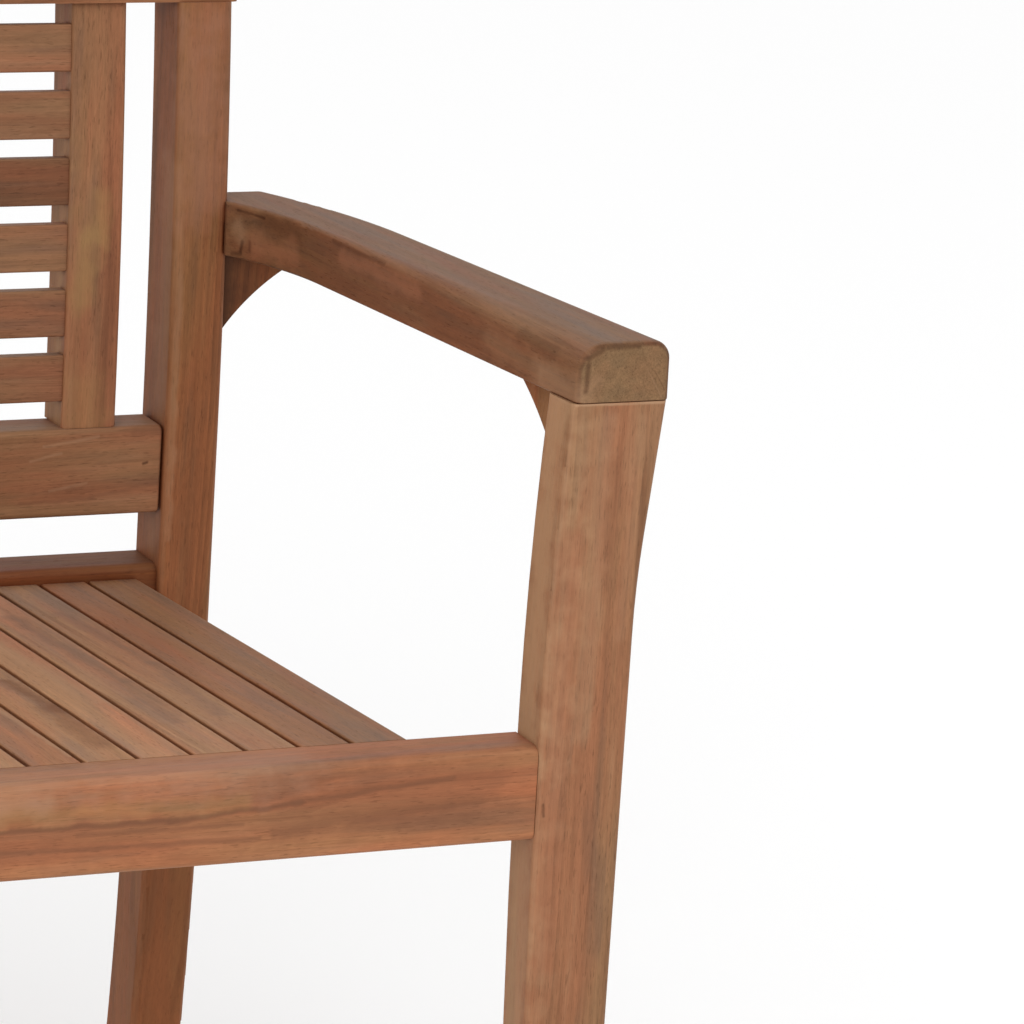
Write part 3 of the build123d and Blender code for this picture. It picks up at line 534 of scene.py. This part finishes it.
def steel_material():
    """Satin stainless steel for the screws, with fine turning marks."""
    material, tree, shader = new_material("screw_steel")
    place = tree.node("ShaderNodeTexCoord").outputs["Object"]
    grain = tree.noise(tree.scaled(place, 2600.0), 3.0)
    smudge = tree.noise(tree.scaled(place, 300.0), 2.0)
    tree.feed(shader.inputs["Base Color"], tree.mix(smudge, STEEL_DARK, STEEL_PALE))
    tree.feed(shader.inputs["Roughness"], tree.math("MULTIPLY_ADD", grain, 0.25, 0.25))
    shader.inputs["Metallic"].default_value = 1.0
    bump(tree, shader, grain, strength=0.2, distance=0.0001)
    return material


# ---------------------------------------------------------------- boards
Board = namedtuple("Board", "axis slope middle tint redness figure marks cut_end")


def grain_of(name):
    """Which way the grain of a piece runs, and its slope in degrees."""
    if name.startswith(("seat_slat", "side_rail")):
        return "y", SEAT_SLOPE
    if name.startswith("armrest"):
        return "y", ARM_SLOPE
    if name.startswith(("front_leg", "rear_post", "back_stile", "arm_bracket")):
        return "z", 0.0
    return "x", 0.0


def tint_of(name, rng):
    """The colour of a board: that of its kind, a little lighter or darker than the next one."""
    if name.startswith("seat_slat"):
        kind, number = "seat_slat", int(name[-2:])
        tint = SEAT_TINTS.get(number, rng.choice(list(SEAT_TINTS.values())))
        spread = 0.0 if number in SEAT_TINTS else SEAT_SPREAD
    else:
        kind = next(kind for kind in BOARD_TINTS if name.startswith(kind))
        tint, spread = BOARD_TINTS[kind], BOARD_SPREAD
    shift = 1 + rng.uniform(-spread, spread)
    return tuple(part * shift for part in tint), REDNESS.get(kind, USUAL_REDNESS)


def board_of(name):
    """All that sets one timber node apart from the others."""
    rng = Random("colour of " + name)
    low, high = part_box(name)
    middle = (low + high) / 2
    if name == "joint_dowels":
        return Board("y", 0, middle, DOWEL_TINT, redness=0.4, figure=0.2, marks=(), cut_end=True)
    axis, slope = grain_of(name)
    tint, redness = tint_of(name, rng)
    figure = rng.uniform(*FIGURE)
    return Board(axis, slope, middle, tint, redness, figure, marks=MARKS.get(name, ()), cut_end=False)


def dress():
    """A board of its own for every timber node, cut ends for the dowels, steel for the screws."""
    group = teak_group()
    for name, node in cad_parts.items():
        if name == "fixing_screws":
            material = steel_material()
        elif name == "joint_dowels":
            material = board_material("dowel_teak", group, board_of(name))
        else:
            material = board_material("teak_" + name, group, board_of(name))
        node.data.materials.clear()
        node.data.materials.append(material)


# ---------------------------------------------------------------- stage
def floor():
    """A large plain pale floor."""
    mesh = bpy.data.meshes.new("floor")
    corners = [(x * FLOOR_REACH, y * FLOOR_REACH, 0) for x, y in ((-1, -1), (1, -1), (1, 1), (-1, 1))]
    mesh.from_pydata(corners, [], [(0, 1, 2, 3)])
    plane = bpy.data.objects.new("floor", mesh)
    bpy.context.scene.collection.objects.link(plane)
    material, _, shader = new_material("floor_paint")
    shader.inputs["Base Color"].default_value = FLOOR_WHITE
    shader.inputs["Roughness"].default_value = 0.9
    mesh.materials.append(material)


def soft_light(name, place, target, size, power):
    """A large square light turned to a point."""
    data = bpy.data.lights.new(name, "AREA")
    data.shape = "SQUARE"
    data.size = size
    data.energy = power
    lamp = bpy.data.objects.new(name, data)
    lamp.location = place
    lamp.rotation_mode = "QUATERNION"
    lamp.rotation_quaternion = (Vector(target) - Vector(place)).to_track_quat("-Z", "Y")
    bpy.context.scene.collection.objects.link(lamp)


def sky():
    """An even white surround."""
    world = bpy.data.worlds.new("studio")
    world.use_nodes = True
    world.node_tree.nodes["Background"].inputs["Color"].default_value = (1, 1, 1, 1)
    world.node_tree.nodes["Background"].inputs["Strength"].default_value = SKY
    bpy.context.scene.world = world


def camera():
    """The camera at the place and angle that shows the right-hand half of the bench."""
    data = bpy.data.cameras.new("camera")
    data.lens = CAMERA_LENS
    data.sensor_width = CAMERA_SENSOR
    data.clip_end = 200.0
    eye = bpy.data.objects.new("camera", data)
    right, down, ahead = Vector(CAMERA_RIGHT), Vector(CAMERA_DOWN), Vector(CAMERA_AHEAD)
    turn = Matrix((right, -down, -ahead)).transposed()
    eye.matrix_world = Matrix.Translation(CAMERA_PLACE) @ turn.to_4x4()
    bpy.context.scene.collection.objects.link(eye)
    bpy.context.scene.camera = eye


camera()
sky()
soft_light("key", KEY_PLACE, KEY_TARGET, KEY_SIZE, KEY_POWER)
floor()
dress()
bpy.context.scene.view_settings.view_transform = "Standard"
